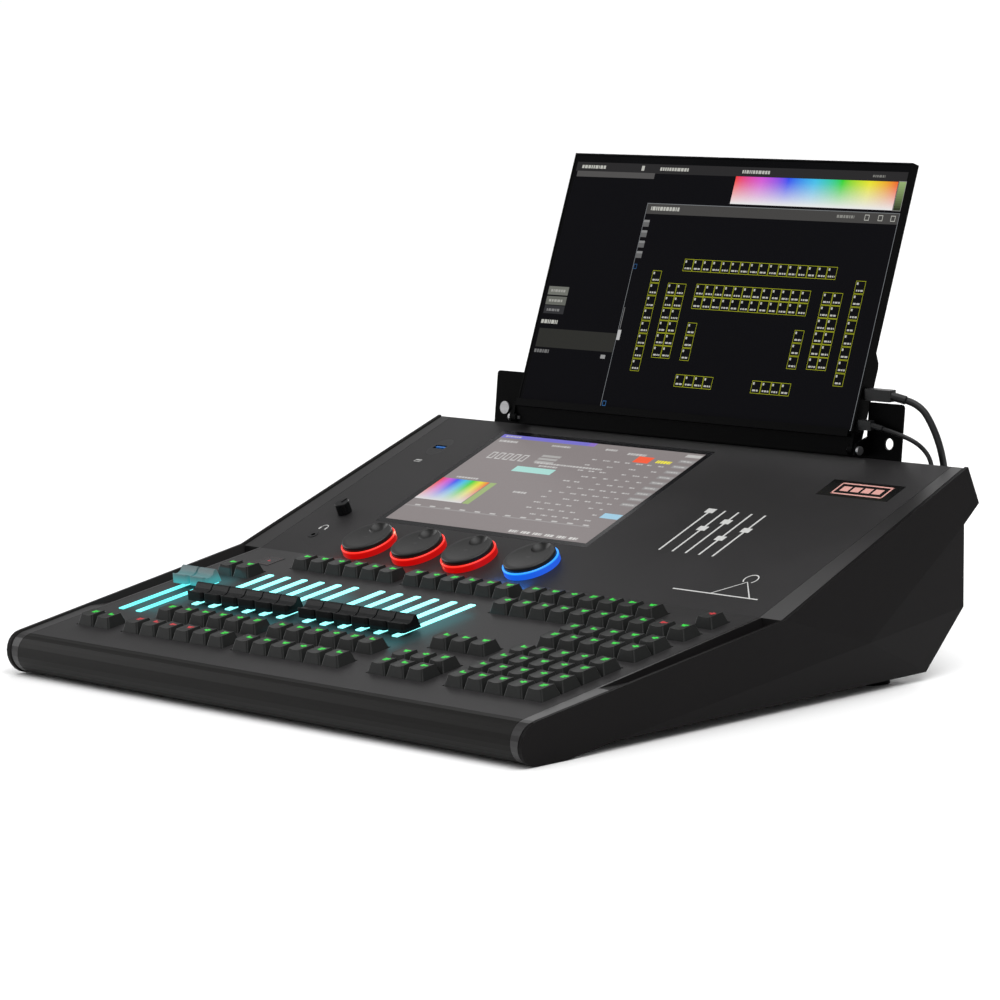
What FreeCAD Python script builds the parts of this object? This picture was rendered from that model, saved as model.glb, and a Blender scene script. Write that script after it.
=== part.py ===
import FreeCAD, Part
import math
import os
from FreeCAD import Matrix, Placement, Rotation, Vector

# Stage lighting control desk. X runs to the operator's right, Y to the rear and Z up, in millimetres.
# The shape is drawn from the front edge of its control panel, and moved at the end, so that the
# origin is on the floor under the middle of the whole desk.

# The key pitch sets the width of the layout.
pitch = 19.05
gap = 0.4

# Side view of the desk
low_slope = 9.0
high_slope = 21.7
low_length = 225.0
high_length = 216.5
front_height = 30.3
sheet = 2.0
roll_radius = 14.6
tray_height = 7.5
tray_front = 72.0
tray_rear = 378.5
rear_face = 416.3
chamfer_top = 48.0
lip_back = 434.0
lip_low = 120.0

# Front view of the desk
panel_half = 259.0
inner_half = 262.0
cheek_front = 273.4
cheek_bulge = 283.6
cheek_rear = 274.0
cheek_thick = 3.0
cheek_rise = 0.9
crease = (309.6, 38.0, 281.0)
trim_gap = 1.6

# Keys, in pitches from the middle of the desk and from the keypad's front row
first_row = 39.5
cap_base = 18.0
cap_top = 12.6
cap_height = 7.6
cap_sunk = 0.9
key_travel = 3.0
key_groups = {
    "keypad_keys": (8.43, 0.0, 5, 4),
    "edit_keys": (8.43, 4.52, 5, 2),
    "command_keys": (3.44, 7.02, 10, 1),
    "function_keys": (3.48, 8.47, 7, 1),
    "record_key": (12.43, 8.47, 1, 1),
    "transport_keys": (4.43, 0.0, 3, 2),
    "menu_keys": (4.43, 3.0, 3, 1),
    "executor_keys_left": (-9.40, 8.47, 6, 1),
    "executor_keys_right": (-2.95, 8.47, 6, 1),
    "upper_playback_keys_left": (-9.48, 1.58, 6, 1),
    "upper_playback_keys_right": (-3.01, 1.58, 6, 1),
    "lower_playback_keys_left": (-9.47, -0.04, 6, 1),
    "lower_playback_keys_right": (-3.01, -0.04, 6, 1),
    "master_keys": (-12.05, 6.86, 2, 1),
    "bank_keys": (-12.20, -0.04, 2, 1),
}
key_nodes = {
    "keypad_keys": ["keypad_keys"],
    "edit_keys": ["edit_keys"],
    "command_keys": ["command_keys"],
    "function_keys": ["function_keys", "record_key"],
    "transport_keys": ["transport_keys", "menu_keys"],
    "executor_keys": ["executor_keys_left", "executor_keys_right"],
    "upper_playback_keys": ["upper_playback_keys_left", "upper_playback_keys_right"],
    "lower_playback_keys": ["lower_playback_keys_left", "lower_playback_keys_right"],
    "side_keys": ["master_keys", "bank_keys"],
}

# Faders, in the same pitches
fader_travel = 60.0
strip_wide = 6.4
strip_long = 77.0
slot_wide = 2.2
slot_long = 67.0
fader_row = 5.21
fader_rest = -28.0
fader_groups = [-9.87, -3.37]
master_row = 3.56
master_rest = 28.0
master_left = -12.52

# Turning controls on the upper panel, by distance from the middle and from the bend
encoder_places = [(-157.5, 22.7), (-102.7, 22.7), (-47.9, 22.7), (16.0, 24.5)]
encoder_radius = 19.9
ring_radius = 21.4
volume_place = (-226.5, 62.0)
headphone_place = (-226.9, 26.9)
usb_place = (-226.5, 170.5)

# Rear sockets, by distance from the middle and height
xlr_places = [(x, 78.0) for x in (-60, -22, 16, 54)]
jack_places = [(x, 76.0) for x in (104, 128)]
power_place = (-190, 72.0)
rocker_lift = 16.2
rocker_depth = 3.0
rocker_turn = 14.0

# Built-in display
display_middle = (-72.5, 130.5)
display_lit = (216.0, 136.5)
display_border = 5.5

# Monitor on the rear edge
screen_lean = 20.6
screen_half = 173.5
screen_tall = 203.0
screen_thin = 6.8
screen_bulge = 12.4
screen_foot = (414.6, 163.5)
pivot = (415.0, 152.0)
pin_radius = 2.0
hdmi_in = (6.0, 31.5)
usb_in = (5.0, 8.6)
hdmi_long = 24.0
usb_long = 12.0
neck_long = 11.0
hdmi_lean = (0.86, 0.36, -0.25)
usb_lean = (0.985, 0.04, -0.17)
hdmi_out = (190.0, 62.0)
usb_out = (162.0, 68.0)
ear_half = 210.0
ear_inner = 177.4
ear_top = 185.5
ear_lean = 7.4
ear_foot = 424.6


def sine(angle):
    return math.sin(math.radians(angle))


def cosine(angle):
    return math.cos(math.radians(angle))


bend = (low_length * cosine(low_slope), front_height + low_length * sine(low_slope))
crest = (bend[0] + high_length * cosine(high_slope), bend[1] + high_length * sine(high_slope))


def frame(angle, y, z):
    """A local frame turned about X and moved to y, z."""
    return Placement(Vector(0, y, z), Rotation(Vector(1, 0, 0), angle))


low_frame = frame(low_slope, 0, front_height)
high_frame = frame(high_slope, bend[0], bend[1])
screen_frame = frame(-screen_lean, screen_foot[0], screen_foot[1])
ear_frame = frame(-ear_lean, ear_foot, crest[1])


def put(shape, where):
    """The same shape in the desk's own frame."""
    return shape.transformed(where.toMatrix())


def box(x0, x1, y0, y1, z0, z1):
    return Part.makeBox(x1 - x0, y1 - y0, z1 - z0, Vector(x0, y0, z0))


def drum(radius, x, y, z0, z1):
    return Part.makeCylinder(radius, z1 - z0, Vector(x, y, z0))


def rod(radius, x0, x1, y, z):
    """A cylinder along X."""
    return Part.makeCylinder(radius, x1 - x0, Vector(x0, y, z), Vector(1, 0, 0))


def rounded(x0, x1, y0, y1, z0, z1, radius):
    """A box whose upright edges are rounded."""
    block = box(x0, x1, y0, y1, z0, z1)
    upright = [e for e in block.Edges if abs(e.tangentAt(e.FirstParameter).z) > 0.9]
    return block.makeFillet(radius, upright)


def slab(outline, x0, x1):
    """A side outline of (y, z) points drawn out along X."""
    points = [Vector(x0, y, z) for y, z in outline]
    face = Part.Face(Part.makePolygon(points + points[:1]))
    return face.extrude(Vector(x1 - x0, 0, 0))


def folded(line, thick):
    """The outline of a sheet folded along a line of (y, z) points, with its thickness to the right."""
    normals = []
    for (ya, za), (yb, zb) in zip(line, line[1:]):
        run = math.hypot(yb - ya, zb - za)
        normals.append(((zb - za) / run, -(yb - ya) / run))
    inner = []
    for i, (y, z) in enumerate(line):
        before = normals[max(i - 1, 0)]
        after = normals[min(i, len(normals) - 1)]
        share = thick / (1 + before[0] * after[0] + before[1] * after[1])
        inner.append((y + share * (before[0] + after[0]), z + share * (before[1] + after[1])))
    return line + inner[::-1]


def arc(middle, radius, first, last, steps):
    """Points round an arc, with angles in degrees from +Y towards +Z."""
    turn = (last - first) / steps
    angles = [first + turn * i for i in range(steps + 1)]
    return [(middle[0] + radius * cosine(a), middle[1] + radius * sine(a)) for a in angles]


def polyhedron(faces):
    """A solid from flat faces, each a list of points."""
    sides = [Part.Face(Part.makePolygon([Vector(*p) for p in f + f[:1]])) for f in faces]
    shell = Part.makeShell(sides)
    shell.sewShape()
    solid = Part.Solid(Part.makeShell(shell.Faces))
    if solid.Volume < 0:
        solid.reverse()
    return solid


def joined(shapes):
    whole = shapes[0]
    for shape in shapes[1:]:
        whole = whole.fuse(shape)
    return whole.removeSplitter()


def mirrored(shape):
    return shape.mirror(Vector(0, 0, 0), Vector(1, 0, 0))


roll_middle = (roll_radius * sine(low_slope), front_height - roll_radius * cosine(low_slope))
roll_low = roll_middle[1] - roll_radius


def roll(radius):
    """The rounded nose from the panel's front edge down to its lowest point."""
    return arc(roll_middle, radius, 90 + low_slope, 270, 12)


# Positions of keys and faders

def key_places(name):
    column, row, columns, rows = key_groups[name]
    return [
        ((column + i) * pitch, first_row + (row + j) * pitch)
        for j in range(rows)
        for i in range(columns)
    ]


def fader_places():
    """Middles of the slots, as across, up the slope and the cap's place from the middle."""
    places = []
    for start in fader_groups:
        for i in range(6):
            places.append(((start + i) * pitch, first_row + (fader_row - 0.16) * pitch, fader_rest))
    for i in range(2):
        places.append(((master_left + 1.05 * i) * pitch, first_row + master_row * pitch, master_rest))
    return places


# Casing

def control_panel():
    line = [(0.2, front_height + 0.03), bend, crest, (lip_back, lip_low)]
    panel = slab(folded(line, sheet), -panel_half, panel_half)
    low_cuts = []
    edge = cap_base / 2 + gap + 0.2
    for name in key_groups:
        places = key_places(name)
        (x0, y0), (x1, y1) = places[0], places[-1]
        low_cuts.append(box(x0 - edge, x1 + edge, y0 - edge, y1 + edge, -6, 4))
    for x, y, rest in fader_places():
        wide, long = strip_wide / 2, strip_long / 2
        low_cuts.append(box(x - wide, x + wide, y - long, y + long, -6, 4))
    low_cuts.append(status_pane(-6, 4))
    high_cuts = [display_block(0, -6, 4)]
    for x, y in encoder_places:
        high_cuts.append(drum(4, x, y, -6, 4))
    high_cuts.append(drum(3.4, *volume_place, -6, 4))
    high_cuts.append(drum(4.2, *headphone_place, -6, 4))
    high_cuts.append(usb_plate(-6, 4))
    for where, cuts in ((low_frame, low_cuts), (high_frame, high_cuts)):
        panel = panel.cut(put(Part.makeCompound(cuts), where))
    return panel


def base_tray():
    line = [(28.4, roll_low + 0.3), (tray_front, tray_height), (tray_rear, tray_height)]
    line += [(rear_face, chamfer_top), (rear_face, chamfer_top + 2)]
    return slab(folded(line[::-1], sheet), -inner_half, inner_half)


def rear_panel():
    low = chamfer_top + 2.3
    line = [(rear_face, low), (rear_face, 107), (lip_back - 2.4, lip_low - 1.8)]
    panel = slab(folded(line[::-1], sheet), -inner_half, inner_half)
    for cut in rear_cuts():
        panel = panel.cut(cut)
    return panel


def front_rail():
    outer = roll(roll_radius)
    inner = roll(roll_radius - 2.4)
    foot = [(28.0, roll_low), (28.0, roll_low + 2.2), (roll_middle[0], roll_low + 2.4)]
    ledge = (9 * cosine(low_slope), 9 * sine(low_slope))
    tongue = [(y + ledge[0], z + ledge[1]) for y, z in (inner[0], outer[0])]
    tongue = [inner[0], tongue[0], (tongue[1][0] + 0.4, tongue[1][1] - 2.2)]
    tip = (outer[0][0] + 0.35, outer[0][1] - 2.2)
    return slab(outer + foot + inner[1:-1][::-1] + tongue + [tip], -panel_half, panel_half)


def cheek_plane(front):
    """X of a cheek's outer face, as a function of y and z, before or behind its crease."""
    near = (0, front_height, cheek_front) if front else (crest[0], crest[1], cheek_rear)
    ay, az, ax = bend[0] - near[0], bend[1] + cheek_rise - near[1], cheek_bulge - near[2]
    by, bz, bx = crease[0] - near[0], crease[1] - near[1], crease[2] - near[2]
    over = ay * bz - az * by
    per_y = (ax * bz - az * bx) / over
    per_z = (ay * bx - ax * by) / over
    return lambda y, z: near[2] + per_y * (y - near[0]) + per_z * (z - near[1])


def cheek():
    """A faceted side plate, bulging at the bend, with its inner face a fixed distance inside."""
    rise = cheek_rise
    front, rear = cheek_plane(True), cheek_plane(False)
    nose = roll(roll_radius + rise)
    top = (bend[0], bend[1] + rise)
    shoulder = (crest[0] + 0.4, crest[1] + rise)
    lip = (lip_back + rise, lip_low - 0.3)
    corner = (rear_face + rise, 106.6)
    low_rear = (rear_face + rise, chamfer_top)
    low_mid = (tray_rear + 0.4, tray_height - rise)
    kink = (tray_front, tray_height - rise)
    foot = (28.0, roll_low - rise)
    middle = crease[:2]
    fronts = [top] + nose + [foot, kink, middle]
    rears = [top, middle, corner, lip, shoulder]
    x_of = {p: front(*p) for p in fronts}
    x_of.update({p: rear(*p) for p in (corner, lip, shoulder)})
    x_of[middle] = crease[2]
    x_of[low_mid] = x_of[kink]
    x_of[low_rear] = x_of[corner] - 1.5
    unders = [[kink, low_mid, middle], [low_mid, low_rear, middle], [low_rear, corner, middle]]
    outer, inner = [], []
    for outline in [fronts, rears] + unders:
        outer.append([(x_of[p], *p) for p in outline])
        inner.append([(x_of[p] - cheek_thick, *p) for p in outline[::-1]])
    rim = [top] + nose + [foot, kink, low_mid, low_rear, corner, lip, shoulder]
    sides = []
    for a, b in zip(rim, rim[1:] + rim[:1]):
        inner_a = (x_of[a] - cheek_thick, *a)
        inner_b = (x_of[b] - cheek_thick, *b)
        sides.append([(x_of[a], *a), inner_a, inner_b, (x_of[b], *b)])
    return polyhedron(outer + inner + sides)


def inside_cheek(front, space):
    """A block from the middle of the desk out to a cheek's inner face, less a space."""
    plane = cheek_plane(front)
    corners = [(-30, -30), (460, -30), (460, 190), (-30, 190)]
    out = [(plane(y, z) - cheek_thick - space, y, z) for y, z in corners]
    base = [(0, y, z) for y, z in corners]
    sides = []
    for i in range(4):
        j = (i + 1) % 4
        sides.append([base[i], base[j], out[j], out[i]])
    return polyhedron([base[::-1], out] + sides)


def side_trim():
    """The strip between panel and cheek: end cap, lower strip, hand grip pocket and upper strip."""
    def surface(y):
        return front_height + y * math.tan(math.radians(low_slope))

    dip, deep, thick = 66.0, 26.0, 3.0
    floor = bend[1] - deep
    nose = roll(roll_radius)
    low = nose[::-1] + [(dip, surface(dip)), (bend[0], floor), (bend[0], floor - thick)]
    low += [(dip, surface(dip) - 9), (20, surface(20) - 9), (20, roll_low)]
    high = [bend, crest, (crest[0] + 1.5, crest[1] - 5.5), (bend[0] + 5, bend[1] - 2.2)]
    high += [(bend[0] + thick, bend[1] - 4), (bend[0] + thick, floor - thick), (bend[0], floor - thick)]
    wall = [(dip, surface(dip)), bend, (bend[0], floor - thick), (dip, surface(dip) - 9)]
    left = panel_half + 0.3
    parts = [slab(low, left, 300), slab(high, left, 300), slab(wall, left, left + 2)]
    trim = joined(parts)
    for front in (True, False):
        trim = trim.common(inside_cheek(front, trim_gap))
    return trim


def rubber_feet():
    rear = [drum(11.5, side * 246, 352, 0, tray_height) for side in (-1, 1)]
    front = [rounded(side * 215 - 18, side * 215 + 18, 5, 25, 0, roll_low, 3) for side in (-1, 1)]
    return Part.makeCompound(rear + front)


def screws():
    """Screw heads under the tray and on the monitor bracket's foot."""
    heads = []
    for x in (-225, -75, 75, 225):
        heads.append(Part.makeCylinder(3.5, 1.8, Vector(x, 100, tray_height - 1.8)))
        heads.append(Part.makeCylinder(3.5, 1.8, Vector(x, 365, tray_height - 1.8)))
    run = math.hypot(lip_back - crest[0], lip_low - crest[1])
    out = Vector(0, (crest[1] - lip_low) / run, (lip_back - crest[0]) / run)
    mid = Vector(0, (lip_back + crest[0]) / 2, (lip_low + crest[1]) / 2)
    for x in (-180, -60, 60, 180):
        heads.append(Part.makeCylinder(3.5, 2.0, mid + Vector(x, 0, 0) + out * 2.0, out))
    return Part.makeCompound(heads)


# Keys

def key_cap():
    """A hollow tapered cap on a stem, with its base at z -cap_sunk and a dished top."""
    def taper(shrink, z0, z1):
        low, high = cap_base / 2 - shrink, cap_top / 2 - shrink
        wires = [
            Part.makePolygon([Vector(x * r, y * r + lift, z) for x, y in square])
            for r, z, lift in ((low, z0, 0), (high, z1, 0.6))
        ]
        return Part.makeLoft(wires, True, True)

    square = [(-1, -1), (1, -1), (1, 1), (-1, 1), (-1, -1)]
    outer = taper(0, -cap_sunk, cap_height)
    slanted = [e for e in outer.Edges if abs(e.tangentAt(e.FirstParameter).z) > 0.7]
    outer = outer.makeFillet(1.3, slanted)
    dish = Part.makeCylinder(24, 30, Vector(0, -15, cap_height + 24 - 0.9), Vector(0, 1, 0))
    hollow = taper(1.3, -cap_sunk - 0.1, cap_height - 2.4)
    stem = drum(2.2, 0, 0, -6, cap_height - 2)
    return outer.cut(dish).cut(hollow).fuse(stem).removeSplitter()


def key_switches():
    block = box(-7, 7, -7, 7, -13.0, -4.2).cut(drum(2.6, 0, 0, -11, 0))
    blocks = []
    for name in key_groups:
        for x, y in key_places(name):
            copy = block.copy()
            copy.translate(Vector(x, y, 0))
            blocks.append(copy)
    return put(Part.makeCompound(blocks), low_frame)


def key_set(cap, names):
    caps = []
    for name in names:
        for x, y in key_places(name):
            copy = cap.copy()
            copy.translate(Vector(x, y, 0))
            caps.append(copy)
    return put(Part.makeCompound(caps), low_frame)


def key_board():
    """The circuit board that carries the key switches and the faders."""
    board = box(-252, 252, 14, 216, -14.8, -13.2)
    return put(board, low_frame)


def status_pane(z0, z1):
    """A flush square pane at the left, beside the upper keys."""
    x, y, half = -11.66 * pitch, first_row + 8.45 * pitch, cap_base / 2
    return box(x - half, x + half, y - half, y + half, z0, z1)


# Faders

def fader_bodies():
    bodies = []
    for x, y, rest in fader_places():
        body = box(x - 4.6, x + 4.6, y - 42, y + 42, -13.0, -2.3)
        bodies.append(body.cut(box(x - 1.2, x + 1.2, y - slot_long / 2, y + slot_long / 2, -11, 0)))
    return put(Part.makeCompound(bodies), low_frame)


def fader_light_strips():
    strips = []
    for x, y, rest in fader_places():
        wide, long = strip_wide / 2 - 0.1, strip_long / 2 - 0.1
        strip = rounded(x - wide, x + wide, y - long, y + long, -2.2, 0.5, 1.2)
        cut = box(x - slot_wide / 2, x + slot_wide / 2, y - slot_long / 2, y + slot_long / 2, -4, 4)
        strips.append(strip.cut(cut))
    return put(Part.makeCompound(strips), low_frame)


def fader_cap(place):
    """A wide saddle-shaped cap on its lever: a low front lip, a hollow for the finger and a rear hump."""
    x, y, rest = place
    side = [(-9, 2.6), (9, 2.6), (7.2, 9), (5.6, 12.2), (4.2, 12.8), (2.6, 12.2), (0.4, 9.4)]
    side += [(-2.2, 8.2), (-5, 8.3), (-7.4, 9.6), (-8.3, 9.4)]
    cap = slab(side, -8.9, 8.9)
    upright = [e for e in cap.Edges if e.BoundBox.XLength < 0.01 and e.BoundBox.ZLength > 4]
    cap = cap.makeFillet(2.4, upright)
    lever = box(-0.6, 0.6, -3.5, 3.5, -9, 4)
    cap = cap.fuse(lever).removeSplitter()
    cap.translate(Vector(x, y + rest, 0))
    return put(cap, low_frame)


# Upper panel

def display_block(margin, z0, z1):
    wide = display_lit[0] / 2 + display_border + margin
    tall = display_lit[1] / 2 + display_border + margin
    x, y = display_middle
    return box(x - wide, x + wide, y - tall, y + tall, z0, z1)


def usb_plate(z0, z1):
    """An upright plate with round ends."""
    x, y = usb_place
    ends = [drum(8.5, x, y + side * 4, z0, z1) for side in (-1, 1)]
    return joined([box(x - 8.5, x + 8.5, y - 4, y + 4, z0, z1)] + ends)


def panel_sockets():
    """The oval-plated data socket and the headphone jack."""
    x, y = usb_place
    plate = usb_plate(-1.6, 0.0)
    body = box(x - 8, x + 8, y - 4, y + 4, -18, -1.6)
    hole = box(x - 6.2, x + 6.2, y - 2.6, y + 2.6, -14, 1)
    tongue = box(x - 5.6, x + 5.6, y + 0.1, y + 1.9, -14, -0.6)
    data = plate.fuse(body).removeSplitter().cut(hole).fuse(tongue)
    x, y = headphone_place
    jack = box(x - 6, x + 6, y - 7, y + 7, -16, -2.3).fuse(drum(4.0, x, y, -3, 0.3))
    jack = jack.removeSplitter().cut(drum(1.8, x, y, -13, 1))
    return put(Part.makeCompound([data, jack]), high_frame)


def encoder_ring(x, y):
    ring = drum(ring_radius, x, y, 0, 5.4).cut(drum(ring_radius - 1.2, x, y, -1, 6))
    floor = drum(ring_radius - 1, x, y, 0, 0.8).cut(drum(4.2, x, y, -1, 2))
    lip = [e for e in ring.Edges if abs(e.BoundBox.ZMin - 5.4) < 0.01 and e.BoundBox.XLength > 42]
    return ring.makeFillet(0.5, lip).fuse(floor).removeSplitter()


def encoder_knob(x, y):
    """A flat wheel with a dished top, a finger dimple and a shaft."""
    wheel = drum(encoder_radius, 0, 0, 1.6, 8.8)
    top = [e for e in wheel.Edges if e.BoundBox.ZMin > 8.7]
    wheel = wheel.makeFillet(1.2, top)
    wheel = wheel.cut(Part.makeSphere(170, Vector(0, 0, 8.8 + 170 - 0.8)))
    wheel = wheel.cut(Part.makeSphere(9.5, Vector(0, 12.6, 8.3 + 9.5 - 3.4)))
    wheel = wheel.fuse(drum(3, 0, 0, -8, 2)).removeSplitter()
    wheel.translate(Vector(x, y, 0))
    return put(wheel, high_frame)


def encoder_bodies():
    bodies = []
    for x, y in encoder_places:
        body = rounded(x - 7, x + 7, y - 7, y + 7, -12, -2.2, 1)
        bodies.append(body.cut(drum(3.05, x, y, -9, 0)))
    x, y = volume_place
    bodies.append(box(x - 5, x + 5, y - 6, y + 6, -11, -2.2).cut(drum(2.05, x, y, -8, 0)))
    return put(Part.makeCompound(bodies), high_frame)


def volume_knob():
    x, y = volume_place
    knob = drum(5.8, 0, 0, 0.5, 9.4)
    knob = knob.makeFillet(0.7, [e for e in knob.Edges if e.BoundBox.ZMin > 9.3])
    for i in range(10):
        groove = drum(0.9, 6.2 * cosine(36 * i + 18), 6.2 * sine(36 * i + 18), -1, 8)
        knob = knob.cut(groove)
    pointer = box(-0.6, 0.6, 0, 5.7, 9, 9.9)
    knob = knob.fuse(pointer).fuse(drum(2, 0, 0, -6, 1)).removeSplitter()
    knob.translate(Vector(x, y, 0))
    return put(knob, high_frame)


# Inside and rear

def power_supply():
    return rounded(-236, -136, 262, 372, tray_height + sheet, 46, 2)


def main_board():
    board = box(-110, 230, 150, 370, 18, 19.6)
    posts = [drum(3, x, y, tray_height + sheet, 18) for x in (-100, 60, 220) for y in (160, 360)]
    chips = [rounded(20, 60, 230, 270, 19.6, 23, 1), rounded(-60, -35, 210, 235, 19.6, 22, 1)]
    chips.append(rounded(110, 170, 260, 300, 19.6, 30, 1))
    return joined([board] + posts + chips)


def rear_round(radius, x, z, y0, y1):
    return Part.makeCylinder(radius, y1 - y0, Vector(x, y0, z), Vector(0, 1, 0))


def rear_cuts():
    y0, y1 = rear_face - 6, rear_face + 2
    cuts = [rear_round(12.2, x, z, y0, y1) for x, z in xlr_places]
    cuts += [box(x - 8.2, x + 8.2, y0, y1, z - 7.2, z + 7.2) for x, z in jack_places]
    x, z = power_place
    cuts.append(box(x - 14.2, x + 14.2, y0, y1, z - 10.2, z + 22.2))
    for x, z in (hdmi_out, usb_out):
        cuts.append(box(x - 8.2, x + 8.2, y0, y1, z - 4.2, z + 4.2))
    return cuts


def rear_connectors():
    """Round signal outlets, network sockets and the sockets that the monitor's leads plug into."""
    parts = []
    for x, z in xlr_places:
        barrel = rear_round(12, x, z, rear_face - 22, rear_face + 1.6)
        barrel = barrel.cut(rear_round(9.6, x, z, rear_face - 14, rear_face + 3))
        insert = rear_round(8.0, x, z, rear_face - 15, rear_face + 0.6)
        for i in range(5):
            angle = 270 + 52 * (i - 2)
            across, up = 5.2 * cosine(angle), 5.2 * sine(angle)
            insert = insert.cut(rear_round(1.3, x + across, z + up, rear_face - 12, rear_face + 2))
        parts.append(barrel.fuse(insert))
    for x, z in jack_places:
        shell = box(x - 8, x + 8, rear_face - 20, rear_face + 0.6, z - 7, z + 7)
        parts.append(shell.cut(box(x - 5.9, x + 5.9, rear_face - 12, rear_face + 2, z - 4.5, z + 3.5)))
    for x, z in (hdmi_out, usb_out):
        parts.append(box(x - 8, x + 8, rear_face - 16, rear_face + 0.4, z - 4, z + 4))
    return Part.makeCompound(parts + [power_inlet()])


def power_inlet():
    """The mains inlet with its rocker switch above."""
    x, z = power_place
    body = box(x - 14, x + 14, rear_face - 24, rear_face + 1.5, z - 10, z + 22)
    body = body.cut(box(x - 11.8, x + 11.8, rear_face - 16, rear_face + 3, z - 8, z + 8))
    mid = z + rocker_lift
    body = body.cut(box(x - 9.4, x + 9.4, rear_face - 6, rear_face + 3, mid - 4.2, mid + 4.2))
    for side, lift in ((-7, 0), (0, 3), (7, 0)):
        at, up = x + side, z + lift
        body = body.fuse(box(at - 1, at + 1, rear_face - 17, rear_face - 4, up - 2, up + 2))
    return body


def power_rocker():
    """The mains switch's rocker, pressed in at its lower end."""
    x, z = power_place
    y, mid = rear_face - rocker_depth, z + rocker_lift
    side = [(y - 1.4, mid - 3.2), (y + 4.0, mid - 3.2), (y + 2.8, mid), (y + 4.0, mid + 3.2)]
    rocker = slab(side + [(y - 1.4, mid + 3.2)], x - 9, x + 9)
    rocker.rotate(Vector(x, y, mid), Vector(1, 0, 0), -rocker_turn / 2)
    return rocker


# Monitor

def monitor_bracket():
    """A bent plate screwed on behind the rear edge, with an ear and a hinge flange at each side."""
    run = math.hypot(lip_back - crest[0], lip_low - crest[1])
    down = ((lip_back - crest[0]) / run, (lip_low - crest[1]) / run)
    out = (-down[1], down[0])
    start = (crest[0] + 0.6 * down[0], crest[1] + 0.6 * down[1])
    leg = [start, (start[0] + 24 * down[0], start[1] + 24 * down[1])]
    leg += [(y + 2 * out[0], z + 2 * out[1]) for y, z in leg[::-1]]
    foot = slab(leg, -ear_half, ear_half)
    tall = (ear_top - crest[1]) / cosine(ear_lean)
    ear = box(ear_inner, ear_half, 0, 2, -2, tall)
    edge = [e for e in ear.Edges if e.BoundBox.XMin > ear_half - 1 and e.BoundBox.ZMin > tall - 1]
    ear = ear.makeFillet(3, edge)
    ear = ear.cut(Part.makeCylinder(4.2, 20, Vector(198.5, -8, 11.5), Vector(0, 1, 0)))
    ear = put(ear, ear_frame)
    side = [(pivot[0] - 4, pivot[1] - 3), (ear_foot + 1.5, 147), (ear_foot + 2.4, 161)]
    side += [(pivot[0] - 2, 157)]
    flange = slab(side, ear_inner, ear_inner + 2)
    flange = flange.cut(rod(pin_radius, 170, 190, *pivot))
    side = ear.fuse(flange)
    bridge = put(box(-ear_inner - 1, ear_inner + 1, 0, 2, -2, 3.5), ear_frame)
    return joined([foot, bridge, side, mirrored(side)])


def bracket_pins():
    """The two hinge pins, and the plug in the left ear's hole."""
    pin = rod(pin_radius, 170, ear_inner + 3.2, *pivot)
    pin = pin.fuse(rod(3.2, ear_inner + 2.0, ear_inner + 4.0, *pivot)).removeSplitter()
    head = Part.makeCylinder(5.0, 1.2, Vector(-198.5, -1.2, 11.5), Vector(0, 1, 0))
    neck = Part.makeCylinder(4.15, 3.0, Vector(-198.5, 0, 11.5), Vector(0, 1, 0))
    plug = put(head.fuse(neck).removeSplitter(), ear_frame)
    return Part.makeCompound([pin, mirrored(pin), plug])


def monitor_cradle():
    """The tray under the monitor: front ledge, floor, back and skirt, with a lug round each pin."""
    line = [(-1.6, 3.2), (-1.6, -1.2), (screen_bulge + 0.6, -1.2), (screen_bulge + 0.6, 22)]
    tray = put(slab(folded(line, 1.2), -172, 172), screen_frame)
    skirt = [(pivot[0] - 1.6, 148.4), (pivot[0] + 1.2, 148.4)]
    skirt += [(screen_foot[0] + 3.4, 160.6), (screen_foot[0] - 0.6, 162.0)]
    skirt = slab(skirt, -175, 175)
    lug = rod(4.2, 172, 176.4, *pivot)
    side = [(pivot[0] - 4, pivot[1]), (pivot[0] + 4, pivot[1]), (pivot[0] + 6, 164)]
    lug = lug.fuse(slab(side + [(pivot[0] - 1, 164)], 173.8, 176.4))
    cradle = joined([tray, skirt, lug, mirrored(lug)])
    bore = rod(pin_radius + 0.06, 169, 180, *pivot)
    return cradle.cut(bore).cut(mirrored(bore))


def monitor_housing():
    """A thin rear shell with a thicker lower part, open at the front for the glass."""
    rim = 1.4
    thin = [(0, 0), (0, screen_tall), (screen_thin, screen_tall), (screen_thin, 62)]
    thin += [(screen_bulge - 1, 56), (screen_bulge, 52), (screen_bulge, 24)]
    thin += [(screen_bulge - 1.6, 8), (screen_bulge - 4, 0)]
    shell = slab(thin, -screen_half, screen_half)
    shell = shell.cut(box(-screen_half + rim, screen_half - rim, -1, 3.4, rim, screen_tall - rim))
    return put(shell, screen_frame)


def monitor_glass():
    rim = 1.7
    return put(box(-screen_half + rim, screen_half - rim, 0.3, 2.3, rim, screen_tall - rim), screen_frame)


def plug_point(place, x):
    """A point on the side of the monitor at a place given by depth and height in its own frame."""
    return screen_frame.multVec(Vector(x, *place))


def side_exit(place, long, lean):
    """Where a side plug's neck starts and where its lead leaves it."""
    root = plug_point(place, screen_half) + Vector(long, 0, 0)
    return root, root + Vector(*lean).normalize() * neck_long


def side_start(place, long, lean):
    """The first two points of a side plug's lead, straight out of its neck."""
    root, end = side_exit(place, long, lean)
    return [tuple(end), tuple(end + (end - root))]


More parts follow.
